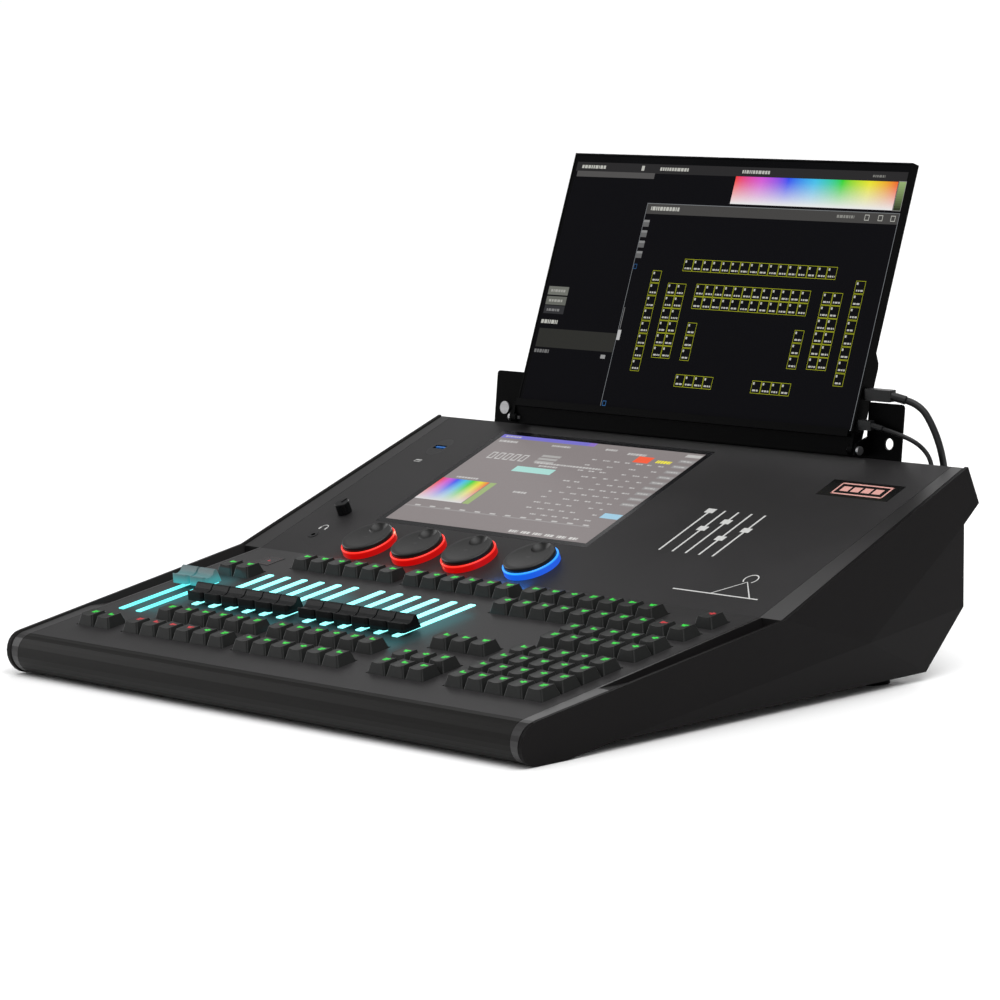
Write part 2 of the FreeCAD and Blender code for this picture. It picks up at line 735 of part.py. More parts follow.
def side_plug(place, deep, tall, long, relief, lean):
    """A plug that stands out of the monitor's right side, with a leaning strain relief."""
    at = plug_point(place, screen_half)
    x0, x1 = at.x + 1.2, at.x + 1.2 + long
    body = rounded(x0, x1, at.y - deep / 2, at.y + deep / 2, at.z - tall / 2, at.z + tall / 2, 1.2)
    metal = box(at.x, x0 + 1, at.y - deep / 3, at.y + deep / 3, at.z - tall / 3, at.z + tall / 3)
    root, end = side_exit(place, long, lean)
    neck = Part.makeCylinder(relief, neck_long, root, end - root)
    return joined([body, metal, neck])


def rear_plug(place, wide, relief):
    """A plug on the rear panel's socket."""
    x, z = place
    body = rounded(x - wide / 2, x + wide / 2, rear_face + 1.0, rear_face + 21, z - 5, z + 5, 1.5)
    metal = box(x - wide / 2 + 2, x + wide / 2 - 2, rear_face + 0.4, rear_face + 2, z - 2, z + 2)
    neck = rear_round(relief, x, z, rear_face + 20, rear_face + 28)
    return joined([body, metal, neck])


def monitor_plugs():
    hdmi = side_plug(hdmi_in, 8, 8.4, hdmi_long, 3.2, hdmi_lean)
    return Part.makeCompound([hdmi, side_plug(usb_in, 5.8, 7, usb_long, 2.2, usb_lean)])


def rear_plugs():
    return Part.makeCompound([rear_plug(hdmi_out, 20, 3.4), rear_plug(usb_out, 14, 2.4)])


# Leads from the monitor to the rear panel

hdmi_radius = 2.6
usb_radius = 1.7


def hdmi_route():
    return side_start(hdmi_in, hdmi_long, hdmi_lean) + [
        (225.5, 444.0, 169.0),
        (230.5, 447.5, 149.0),
        (226.0, 456.0, 126.0),
        (215.0, 464.5, 104.0),
        (200.0, 472.0, 82.0),
        (hdmi_out[0], 463.0, hdmi_out[1]),
        (hdmi_out[0], rear_face + 28, hdmi_out[1]),
    ]


def usb_route():
    return side_start(usb_in, usb_long, usb_lean) + [
        (223.6, 431.6, 158.0),
        (222.5, 446.5, 142.5),
        (211.5, 454.5, 122.0),
        (195.0, 459.5, 102.5),
        (175.0, 463.5, 84.0),
        (usb_out[0], 458.5, usb_out[1]),
        (usb_out[0], rear_face + 28, usb_out[1]),
    ]


def lead(name, route, radius):
    """A tube along straight runs joined by tangent arcs."""
    points = [Vector(*p) for p in route]
    edges, here, radii = [], points[0], []
    for before, at, after in zip(points, points[1:], points[2:]):
        back, on = (before - at).normalize(), (after - at).normalize()
        turn = math.pi - back.getAngle(on)
        reach = 0.45 * min(at.distanceToPoint(before), at.distanceToPoint(after))
        bow = reach / math.tan(turn / 2)
        enter, leave = at + back * reach, at + on * reach
        middle = at + (back + on).normalize() * (bow / math.cos(turn / 2))
        top = middle + (at - middle).normalize() * bow
        edges += [Part.LineSegment(here, enter).toShape(), Part.Arc(enter, top, leave).toShape()]
        here = leave
        radii.append(round(bow, 1))
    edges.append(Part.LineSegment(here, points[-1]).toShape())
    path = Part.Wire(edges)
    ring = Part.Wire(Part.makeCircle(radius, points[0], points[1] - points[0]))
    tube = path.makePipeShell([ring], True, False)
    share = tube.Volume / (math.pi * radius ** 2 * path.Length)
    print(name, "length", round(path.Length, 1), "radii", radii, "volume share", round(share, 4))
    return tube


# The whole desk

def desk():
    """Every piece by name, still in the drawing's place."""
    cap = key_cap()
    pieces = {
        "control_panel": control_panel(),
        "base_tray": base_tray(),
        "rear_panel": rear_panel(),
        "front_rail": front_rail(),
        "cheek_right": cheek(),
        "rubber_feet": rubber_feet(),
        "screws": screws(),
        "display_glass": put(display_block(-0.15, -1.2, 0), high_frame),
        "display_module": put(display_block(2, -8, -2.0).fuse(display_block(-0.5, -2.0, -1.2)), high_frame),
        "key_board": key_board(),
        "key_switches": key_switches(),
        "fader_bodies": fader_bodies(),
        "fader_light_strips": fader_light_strips(),
        "status_pane": put(status_pane(-2, 0.3), low_frame),
        "encoder_rings": put(Part.makeCompound([encoder_ring(*p) for p in encoder_places]), high_frame),
        "encoder_bodies": encoder_bodies(),
        "volume_knob": volume_knob(),
        "panel_sockets": panel_sockets(),
        "main_board": main_board(),
        "power_supply": power_supply(),
        "rear_connectors": rear_connectors(),
        "power_rocker": power_rocker(),
        "monitor_bracket": monitor_bracket(),
        "bracket_pins": bracket_pins(),
        "monitor_cradle": monitor_cradle(),
        "monitor_housing": monitor_housing(),
        "monitor_glass": monitor_glass(),
        "monitor_plugs": monitor_plugs(),
        "rear_plugs": rear_plugs(),
    }
    pieces["cheek_left"] = mirrored(pieces["cheek_right"])
    trim = side_trim()
    pieces["side_trims"] = Part.makeCompound([trim, mirrored(trim)])
    for name, names in key_nodes.items():
        pieces[name] = key_set(cap, names)
    for i, place in enumerate(fader_places(), start=1):
        pieces["fader_cap_%02d" % i] = fader_cap(place)
    for i, place in enumerate(encoder_places, start=1):
        pieces["encoder_knob_%d" % i] = encoder_knob(*place)
    return pieces


leads = {
    "hdmi_cable": lead("hdmi_cable", hdmi_route(), hdmi_radius),
    "usb_cable": lead("usb_cable", usb_route(), usb_radius),
}
on_leads = ["monitor_plugs", "rear_plugs"]
pieces = desk()
extent = Part.makeCompound([s for n, s in pieces.items() if n not in on_leads]).BoundBox
shift = Vector(0, -extent.Center.y, 0)
pieces.update(leads)

os.makedirs("parts", exist_ok=True)
for name, shape in pieces.items():
    shape.translate(shift)
    shape.exportStep("parts/%s.step" % name)
print(len(pieces), "pieces, moved by", round(shift.y, 3), "in Y")
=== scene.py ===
import math

import bpy
import numpy as np
from mathutils import Matrix, Vector


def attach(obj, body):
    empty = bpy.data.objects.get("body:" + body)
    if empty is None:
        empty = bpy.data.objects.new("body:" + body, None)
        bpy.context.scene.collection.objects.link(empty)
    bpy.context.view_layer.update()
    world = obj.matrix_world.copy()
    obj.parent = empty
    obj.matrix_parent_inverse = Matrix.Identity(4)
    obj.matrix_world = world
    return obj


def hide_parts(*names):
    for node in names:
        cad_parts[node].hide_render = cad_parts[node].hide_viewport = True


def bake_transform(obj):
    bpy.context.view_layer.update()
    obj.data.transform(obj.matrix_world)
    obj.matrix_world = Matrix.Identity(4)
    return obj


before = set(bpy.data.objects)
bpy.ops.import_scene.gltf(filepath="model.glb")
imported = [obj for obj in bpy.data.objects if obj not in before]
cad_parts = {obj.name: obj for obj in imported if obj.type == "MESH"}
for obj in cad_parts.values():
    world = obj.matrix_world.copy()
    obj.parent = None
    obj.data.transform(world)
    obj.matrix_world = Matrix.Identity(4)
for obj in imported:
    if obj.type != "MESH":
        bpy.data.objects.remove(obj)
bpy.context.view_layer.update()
mm = 0.001

camera = {
    "middle": (2.0989, -1.9920, 0.5300),
    "forward": (-0.7199, 0.6799, -0.1396),
    "right": (0.6892, 0.7240, -0.0275),
    "lens": 146.06,
    "sensor": 36,
}


def makeCamera():
    data = bpy.data.cameras.new("deskCamera")
    data.lens, data.sensor_width = camera["lens"], camera["sensor"]
    data.clip_start, data.clip_end = 0.05, 200
    holder = bpy.data.objects.new("deskCamera", data)
    bpy.context.scene.collection.objects.link(holder)
    back = -Vector(camera["forward"]).normalized()
    right = Vector(camera["right"])
    right = (right - back * right.dot(back)).normalized()
    up = back.cross(right)
    turned = Matrix((right, up, back)).transposed().to_4x4()
    holder.matrix_world = Matrix.Translation(Vector(camera["middle"])) @ turned
    bpy.context.scene.camera = holder


makeCamera()
print("camera set")


class Wire:
    # One value between two nodes. Python's operators on it add Math nodes.
    def __init__(self, nodes, socket):
        self.nodes, self.socket = nodes, socket

    def maths(self, operation, first, second):
        return self.nodes.add("Math", {"operation": operation}, {0: first, 1: second})

    def __add__(self, other):
        return self.maths("ADD", self, other)

    def __sub__(self, other):
        return self.maths("SUBTRACT", self, other)

    def __rsub__(self, other):
        return self.maths("SUBTRACT", other, self)

    def __mul__(self, other):
        return self.maths("MULTIPLY", self, other)

    __radd__, __rmul__ = __add__, __mul__

    def smooth(self, low, high):
        # 0 below low and 1 above high, with a soft rise between
        spread = {"Value": self, "From Min": low, "From Max": high}
        return self.nodes.add("MapRange", {"interpolation_type": "SMOOTHSTEP"}, spread)

    def over(self, edge, soft):
        # 0 on the near side of an edge and 1 beyond it, soft by this much to both sides
        return self.smooth(edge - soft, edge + soft)

    def within(self, low, high, soft):
        return self.over(low, soft) * (1 - self.over(high, soft))


class Nodes:
    # The nodes of a material or of the world.
    def __init__(self, holder):
        holder.use_nodes = True
        self.tree = holder.node_tree

    def add(self, kind, settings, links, out=0):
        node = self.tree.nodes.new("ShaderNode" + kind)
        for key, value in settings.items():
            setattr(node, key, value)
        for key, value in links.items():
            if isinstance(value, Wire):
                self.tree.links.new(value.socket, node.inputs[key])
            else:
                node.inputs[key].default_value = value
        return Wire(self, node.outputs[out])


class Finish(Nodes):
    def __init__(self, name, colour, rough, **fixed):
        self.material = bpy.data.materials.new(name)
        super().__init__(self.material)
        self.shader = self.tree.nodes["Principled BSDF"]
        self.shader.inputs["Base Color"].default_value = (*colour, 1)
        self.shader.inputs["Roughness"].default_value = rough
        for key, value in fixed.items():
            self.shader.inputs[key.replace("_", " ")].default_value = value
        self.place = self.add("TexCoord", {}, {}, "Object")

    def feed(self, socket, wire):
        self.tree.links.new(wire.socket, self.shader.inputs[socket])

    def noise(self, scale, detail=2.0, stretch=(1, 1, 1)):
        moved = self.add("Mapping", {}, {"Vector": self.place, "Scale": stretch})
        return self.add("TexNoise", {}, {"Vector": moved, "Scale": scale, "Detail": detail})

    def mix(self, share, first, second):
        links = {0: share, 6: first, 7: second}
        return self.add("Mix", {"data_type": "RGBA"}, links, 2)

    def along(self, direction):
        # how far a point lies along a direction, in metres
        links = {0: self.place, 1: direction}
        return self.add("VectorMath", {"operation": "DOT_PRODUCT"}, links, "Value")

    def bump(self, height, strength, distance):
        links = {"Height": height, "Strength": strength, "Distance": distance}
        self.feed("Normal", self.add("Bump", {}, links))


def shade(colour, share):
    return tuple(min(1, c * share) for c in colour[:3]) + (1,)


coatWear = {
    "patches": 14,         # scale of the worn patches
    "patchEdge": (0.35, 0.7),
    "patchTone": (0.88, 1.12),
    "specks": 420,         # scale of the dust
    "speckEdge": (0.72, 0.8),
    "speckTone": 2.2,
    "patchRough": 0.08,
    "grainRough": 0.04,
    "grainHeight": 0.00012,
}


def coated(name, colour, rough, grain=1500, depth=0.25, dust=0.25, **fixed):
    # paint or moulded plastic: fine grain, soft patches of wear and a little dust
    wear = coatWear
    finish = Finish(name, colour, rough, **fixed)
    fine = finish.noise(grain, 3)
    patches = finish.noise(wear["patches"], 5)
    dull, bright = (shade(colour, share) for share in wear["patchTone"])
    tone = finish.mix(patches.smooth(*wear["patchEdge"]), dull, bright)
    specks = finish.noise(wear["specks"], 1).smooth(*wear["speckEdge"])
    finish.tone = finish.mix(specks * dust, tone, shade(colour, wear["speckTone"]))
    finish.feed("Base Color", finish.tone)
    spread = patches * wear["patchRough"] + fine * wear["grainRough"]
    finish.feed("Roughness", rough - 0.05 + spread)
    finish.bump(fine, depth, wear["grainHeight"])
    return finish


brushWear = {
    "lines": (60, (0.12, 22, 22)),     # scale, and how it is stretched along X
    "lineTone": (0.75, 1.25),
    "patches": 9,
    "lineRough": 0.1,
    "patchRough": 0.06,
    "lineDepth": 0.12,
    "lineHeight": 0.0001,
}


def brushed(name, colour, rough, metal, **fixed):
    # metal with fine lines along X
    wear = brushWear
    finish = Finish(name, colour, rough, Metallic=metal, **fixed)
    scale, stretch = wear["lines"]
    lines = finish.noise(scale, 6, stretch)
    patches = finish.noise(wear["patches"], 4)
    dull, bright = (shade(colour, share) for share in wear["lineTone"])
    finish.feed("Base Color", finish.mix(lines, dull, bright))
    spread = lines * wear["lineRough"] + patches * wear["patchRough"]
    finish.feed("Roughness", rough - 0.06 + spread)
    finish.bump(lines, wear["lineDepth"], wear["lineHeight"])
    return finish


def tinted(name, strength, rough, **fixed):
    # lit from behind, in the colours that the piece's own points carry
    finish = Finish(name, (0.004, 0.004, 0.005), rough, Emission_Strength=strength, **fixed)
    tint = finish.add("Attribute", {"attribute_name": "tint"}, {}, "Color")
    weave = finish.noise(900, 1) * 0.1 + 0.9
    finish.feed("Emission Color", finish.mix(weave, (0, 0, 0, 1), tint))
    return finish


cheekLook = {
    "coat": (0.0030, 0.0024, 0.0026),
    # painted light: the panel's grey on the cheek's inward side stands for the light that falls
    # there
    "inner": (0.022, 0.021, 0.021, 1),
    "turn": (0.1, 0.2),    # a point's distance from the middle, as far as its face looks there
}


def cheekFinish():
    # near black outside, with painted light on the side that faces the desk's middle: that side is
    # lightened to the panel's grey to stand for the light that falls there
    finish = coated("cheekCoatAndPaintedLight", cheekLook["coat"], 0.45, 900, 0.15, Specular_IOR_Level=0.07)
    facing = finish.add("NewGeometry", {}, {}, "Normal")
    links = {0: facing, 1: (-1, 0, 0)}
    turned = finish.add("VectorMath", {"operation": "MULTIPLY"}, links)
    links = {0: turned, 1: finish.place}
    inward = finish.add("VectorMath", {"operation": "DOT_PRODUCT"}, links, "Value")
    # painted light: lighter colour where the face turns towards the desk's middle
    inner = inward.smooth(*cheekLook["turn"])
    finish.feed("Base Color", finish.mix(inner, finish.tone, cheekLook["inner"]))
    return finish


# colour, roughness, grain scale, grain depth, share of dust, then the shader's own fixed values
panelCoat = coated("panelCoat", (0.0150, 0.0142, 0.0148), 0.5, 1700, 0.3, Specular_IOR_Level=0.22)
caseCoat = coated("caseCoat", (0.0080, 0.0080, 0.0084), 0.5, Specular_IOR_Level=0.2)
cheekCoatAndPaintedLight = cheekFinish()
trimCoat = coated("trimCoat", (0.0120, 0.0112, 0.0116), 0.3, 900, 0.1, Specular_IOR_Level=0.4)
railMetal = brushed("railMetal", (0.0042, 0.0038, 0.0034), 0.4, 0.0, Specular_IOR_Level=0.12)
footRubber = coated("footRubber", (0.0015, 0.0015, 0.0015), 0.8, 700, 0.5, Specular_IOR_Level=0.08)
steel = brushed("steel", (0.55, 0.55, 0.56), 0.32, 1.0)
bracketCoat = coated("bracketCoat", (0.0007, 0.0007, 0.0008), 0.42, 1500, 0.2,
                     Specular_IOR_Level=0.03)
innerPlastic = coated("innerPlastic", (0.004, 0.004, 0.004), 0.7, 800, 0.2, Specular_IOR_Level=0.15)
boardMask = coated("boardMask", (0.008, 0.035, 0.017), 0.4, 600, 0.2)
keyPlastic = coated("keyPlastic", (0.0080, 0.0086, 0.0082), 0.42, 2600, 0.25, 0.35,
                    Specular_IOR_Level=0.25)
capPlastic = coated("capPlastic", (0.0035, 0.0038, 0.0042), 0.38, 2200, 0.2, 0.3,
                    Specular_IOR_Level=0.2)
knobPlastic = coated("knobPlastic", (0.0080, 0.0078, 0.0078), 0.4, 2500, 0.2, 0.3,
                     Specular_IOR_Level=0.35)
leadRubber = coated("leadRubber", (0.006, 0.006, 0.0065), 0.42, 1800, 0.35, Specular_IOR_Level=0.3)
socketPlastic = coated("socketPlastic", (0.007, 0.007, 0.0075), 0.45, 1300, 0.2,
                       Specular_IOR_Level=0.3)
monitorGlass = coated("monitorGlass", (0.002, 0.002, 0.0025), 0.12, 40, 0.0, 0.1,
                      Specular_IOR_Level=0.06)
deskGlass = coated("deskGlass", (0.004, 0.004, 0.005), 0.2, 40, 0.0, 0.1, Specular_IOR_Level=0.25)
print("finishes ready")


def nodePoints(node):
    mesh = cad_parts[node].data
    points = np.empty(len(mesh.vertices) * 3, np.float32)
    mesh.vertices.foreach_get("co", points)
    return points.reshape(-1, 3).astype(float)


class Slope:
    # A plane that rises to the rear. Its points are across, up the slope and out of it:
    # place = across * X + up * (0, cos, sin) + out * (0, -sin, cos), from the plane's own start.
    def __init__(self, degrees, node, before):
        turn = math.radians(degrees)
        c, s = math.cos(turn), math.sin(turn)
        self.axes = np.array([[1, 0, 0], [0, c, s], [0, -s, c]])
        self.start = np.zeros(3)
        low, high = self.span(node)
        self.start = np.array([0, low[1] - before, high[2]])

    def local(self, points):
        return points @ self.axes.T - self.start

    def place(self, points):
        return (np.asarray(points, float) + self.start) @ self.axes

    def span(self, node):
        points = self.local(nodePoints(node))
        return points.min(0), points.max(0)


panelAngles = {"low": 9.0, "high": 21.7, "screen": 69.4}
paneStands = 0.3 * mm      # how far the status pane stands out of the panel
lowSlope = Slope(panelAngles["low"], "status_pane", 0.19147)
lowSlope.start[2] -= paneStands
highSlope = Slope(panelAngles["high"], "display_glass", 0.0569)
screenPlane = Slope(panelAngles["screen"], "monitor_glass", 0.0017)


def gridFaces(rows, columns, wrap=False):
    # quads of a grid of points in rows; wrap joins each row's end to its start
    r = np.arange(rows - 1)[:, None]
    c = np.arange(columns if wrap else columns - 1)[None, :]
    n = (c + 1) % columns
    corners = [r * columns + c, r * columns + n, (r + 1) * columns + n, (r + 1) * columns + c]
    return np.stack(np.broadcast_arrays(*corners), -1).reshape(-1, 4)


def makePiece(name, points, faces, body, finish, tint=None, smooth=False):
    mesh = bpy.data.meshes.new(name)
    mesh.from_pydata(np.asarray(points).tolist(), [], faces)
    if tint is not None:
        colours = mesh.attributes.new("tint", "FLOAT_COLOR", "POINT")
        full = np.concatenate([tint, np.ones((len(tint), 1))], 1)
        colours.data.foreach_set("color", full.astype(np.float32).ravel())
    mesh.polygons.foreach_set("use_smooth", np.full(len(mesh.polygons), smooth))
    mesh.materials.append(finish.material)
    mesh.update()
    piece = bpy.data.objects.new(name, mesh)
    bpy.context.scene.collection.objects.link(piece)
    if body:
        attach(piece, body)
    return piece


def dress(finish, *nodes):
    for node in nodes:
        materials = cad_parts[node].data.materials
        materials.clear()
        materials.append(finish.material)


layerStep = 0.02


class Picture:
    # Flat coloured patches on a slope, in millimetres, each layer a little above the last.
    def __init__(self, slope, lift):
        self.slope, self.lift = slope, lift
        self.points, self.faces, self.tints, self.count = [], [], [], 0

    def height(self, layer):
        return self.lift + layerStep * layer

    def put(self, points, faces, tint):
        self.points.append(points)
        self.faces.append(faces + self.count)
        self.tints.append(tint)
        self.count += len(points)

    def patch(self, x0, x1, y0, y1, colour, layer=1):
        # four corners: left and right edge by lower and upper edge
        height = self.height(layer)
        corners = [(x0, y0, height), (x1, y0, height), (x1, y1, height), (x0, y1, height)]
        self.put(np.array(corners), np.array([[0, 1, 2, 3]]), np.tile(colour, (4, 1)))

    def outline(self, x0, x1, y0, y1, wide, colour, layer=2):
        self.patch(x0, x1, y0, y0 + wide, colour, layer)
        self.patch(x0, x1, y1 - wide, y1, colour, layer)
        self.patch(x0, x0 + wide, y0, y1, colour, layer)
        self.patch(x1 - wide, x1, y0, y1, colour, layer)

    def ribbon(self, line, wide, colour, layer=1):
        # a line of points with its width to both sides: point plus and minus half a width of normal
        line = np.asarray(line, float)
        run = np.gradient(line, axis=0)
        side = np.stack([-run[:, 1], run[:, 0]], 1)
        side /= np.linalg.norm(side, axis=1)[:, None]
        side *= wide / 2
        both = np.stack([line + side, line - side], 1).reshape(-1, 2)
        height = np.full((len(both), 1), self.height(layer))
        faces = gridFaces(len(line), 2)[:, ::-1]
        self.put(np.hstack([both, height]), faces, np.tile(colour, (len(both), 1)))

    def rainbow(self, x0, x1, y0, y1, columns, strength, white, layer=3):
        # hue runs across, and white comes in towards the front as (way down) ** 1.6
        stops = np.array([
            (1, 0.05, 0.03), (0.75, 0.10, 0.75), (0.03, 0.08, 1), (0.05, 0.60, 0.95),
            (0.03, 0.75, 0.03), (0.95, 0.90, 0.02), (1, 0.14, 0.02),
        ])
        across = np.linspace(0, 1, columns)
        places = np.linspace(0, 1, len(stops))
        hue = np.stack([np.interp(across, places, channel) for channel in stops.T], 1)
        down = np.linspace(0, 1, 7)[:, None, None] ** 1.6
        tint = (hue[None] * (1 - down) + white * down) * strength
        x = np.linspace(x0, x1, columns)[None]
        y = np.linspace(y1, y0, 7)[:, None]
        grid = np.stack(np.broadcast_arrays(x, y, self.height(layer)), -1)
        self.put(grid.reshape(-1, 3), gridFaces(7, columns)[:, ::-1], tint.reshape(-1, 3))

    def make(self, name, body, finish):
        points = self.slope.place(np.vstack(self.points) * mm)
        faces = np.vstack(self.faces).tolist()
        return makePiece(name, points, faces, body, finish, np.vstack(self.tints))


dice = np.random.default_rng(7)
barLook = {"shortest": 1.0, "longest": 3.2, "gap": 0.7, "leftOver": 0.5}


def words(picture, x0, x1, y0, y1, colour, layer=3):
    # a run of short bars in place of writing
    x = x0
    while x < x1 - barLook["leftOver"]:
        end = min(x1, x + dice.uniform(barLook["shortest"], barLook["longest"]))
        picture.patch(x, end, y0, y1, colour, layer)
        x = end + barLook["gap"]


print("planes and mesh helpers ready")

# Places on both pictures are in millimetres: left, right, lower and upper edge.
monitorLook = {
    "ground": (0.0008, 0.0007, 0.0009),
    "bar": (0.022, 0.021, 0.021),
    "cell": (0.40, 0.43, 0.015),
    "text": (0.50, 0.50, 0.46),
    "dimText": (0.2, 0.2, 0.2),
    "note": (0.16, 0.16, 0.16),
    "tab": (0.085, 0.082, 0.08),
    "pickerLine": (0.3, 0.3, 0.28),
    "titleBar": (0.060, 0.058, 0.055),
    "windowLine": (0.20, 0.21, 0.22),
    "tool": (0.13, 0.13, 0.13),
    "toolTop": (0.24, 0.24, 0.24),
    "corners": ((0.02, 0.08, 0.2), (0.03, 0.12, 0.3)),
    "button": (0.03, 0.03, 0.032),
    "buttonText": (0.35, 0.35, 0.32),
    "list": (0.026, 0.026, 0.022),
    "listMark": (0.3, 0.3, 0.3),
    "slider": (0.5, 0.5, 0.5),
    "sliderLine": (0.16, 0.16, 0.16),
    "brightness": 1.0,
    "cellSize": (9.4, 9.6),
    "cellLine": 0.32,
    "rowStep": (9.66, 9.8),
    "columnStep": 9.95,
    # left and lower edge of the first cell, cells across, cells up
    "rows": [(-30.0, 113, 16, 1), (-12.0, 84.3, 12, 2), (-41.7, 44.5, 2, 6), (116.0, 44.7, 2, 6),
             (-11.6, 23.6, 4, 1), (66.6, 23.6, 4, 1)],
    "columns": [(-60.6, 33.0, 8), (145.0, 34.0, 8), (-11.7, 44.0, 3), (96.7, 44.0, 3)],
}


def cell(picture, x, y):
    # a framed square with a small mark and a line of bars
    look = monitorLook
    wide, high = look["cellSize"]
    picture.outline(x, x + wide, y, y + high, look["cellLine"], look["cell"])
    picture.patch(x + 1.0, x + 2.6, y + 6.6, y + 8.4, look["text"], 3)
    words(picture, x + 1.6, x + 8.2, y + 1.6, y + 2.9, look["text"])


def makeMonitorPicture():
    look = monitorLook
    ui = Picture(screenPlane, 0.05)
    ui.patch(-169, 171, 2, 196, look["ground"], 0)
    ui.patch(-169, 171, 188.5, 196, look["bar"])
    ui.patch(-167, -82.5, 184.2, 188.8, look["tab"], 2)
    words(ui, -163, -137, 191, 193.6, look["text"])
    words(ui, -78, -48, 191, 193.6, look["text"])
    words(ui, 8, 36, 191, 193.6, look["text"])
    words(ui, 138, 150, 191.4, 193.2, shade(look["text"], 0.4)[:3])
    ui.patch(-98, -95, 190.5, 194.4, look["text"], 3)
    ui.rainbow(2.7, 163.5, 167, 188.6, 49, 0.9, 0.95)     # colour field
    for i in range(12):
        level = 0.04 + 0.035 * i
        ui.patch(164.5, 171, 167 + 1.8 * i, 168.8 + 1.8 * i, (level * 0.7, level, level * 0.4), 3)
    ui.outline(163.9, 171.4, 166.6, 189.0, 0.4, look["pickerLine"], 4)
    ui.patch(-83, 171.7, 2.4, 165, look["ground"])        # the large window
    ui.patch(-83, 171.7, 156.5, 165, look["titleBar"], 2)
    ui.outline(-83, 171.7, 2.4, 165, 0.45, look["windowLine"], 3)
    words(ui, -78, -48, 159.4, 162.4, look["text"])
    words(ui, 112, 129, 159.8, 162.0, shade(look["text"], 0.5)[:3])
    for x in (139, 152, 164):
        ui.outline(x, x + 4.4, 158.6, 163.0, 0.5, look["text"], 4)
    for i in range(4):
        ui.patch(-82.4, -76.4, 146.2 - 8.3 * i, 151.6 - 8.3 * i, look["tool"], 3)
        ui.patch(-82.4, -76.4, 149.8 - 8.3 * i, 151.6 - 8.3 * i, look["toolTop"], 4)
    ui.outline(-82.2, -78.8, 112.5, 116.5, 0.5, look["corners"][0], 3)
    ui.outline(-81.4, -77.6, 4.0, 8.0, 0.5, look["corners"][1], 3)
    for x, y, columns, rows in look["rows"]:
        for i in range(columns):
            for j in range(rows):
                cell(ui, x + look["rowStep"][0] * i, y + look["rowStep"][1] * j)
    for x, y, rows in look["columns"]:
        for j in range(rows):
            cell(ui, x, y + look["columnStep"] * j)
    for y, level in ((91.5, 0.16), (83.5, 0.13)):
        ui.patch(-168, -146, y - 3.4, y + 3.4, (level, level * 1.03, level * 0.9), 2)
        words(ui, -165, -149, y - 1, y + 1, look["buttonText"])
    ui.patch(-168, -146, 73, 79.5, look["button"], 2)
    words(ui, -165, -150, 75, 77, look["dimText"])
    words(ui, -168, -150, 65, 68, look["text"])
    ui.patch(-168, -83.5, 46, 61, look["list"])
    words(ui, -168, -152, 41.5, 44.2, look["note"])
    ui.patch(-95, -90, 40.5, 43.5, look["listMark"], 2)
    ui.patch(-82.6, -79.2, 56, 64, look["slider"], 5)
    ui.patch(-81.6, -80.8, 64, 82, look["sliderLine"], 5)
    lit = tinted("monitorPicture", look["brightness"], 0.14, Specular_IOR_Level=0.02)
    ui.make("monitor_picture", "monitor", lit)


makeMonitorPicture()
print("monitor picture made")

displayLook = {
    "ground": (0.255, 0.226, 0.225),
    "text": (0.56, 0.55, 0.54),
    "footText": (0.68, 0.67, 0.65),
    "tabs": ((0.19, 0.17, 0.62), (0.28, 0.17, 0.60)),
    "line": (0.42, 0.41, 0.40),
    "chosen": (0.40, 0.72, 0.66),
    "pickerEnd": (0.34, 0.46, 0.18),
    "rule": (0.34, 0.32, 0.32),
    "warning": ((0.95, 0.12, 0.05), (0.95, 0.85, 0.05)),
    "menu": (0.32, 0.31, 0.31),
    "menuTop": (0.52, 0.51, 0.5),
    "menuChosen": (0.36, 0.62, 0.78),
    "filled": 0.82,        # share of the table's places that hold something
    "tableStep": (11.6, 8.4),
    "brightness": 1.0,
}


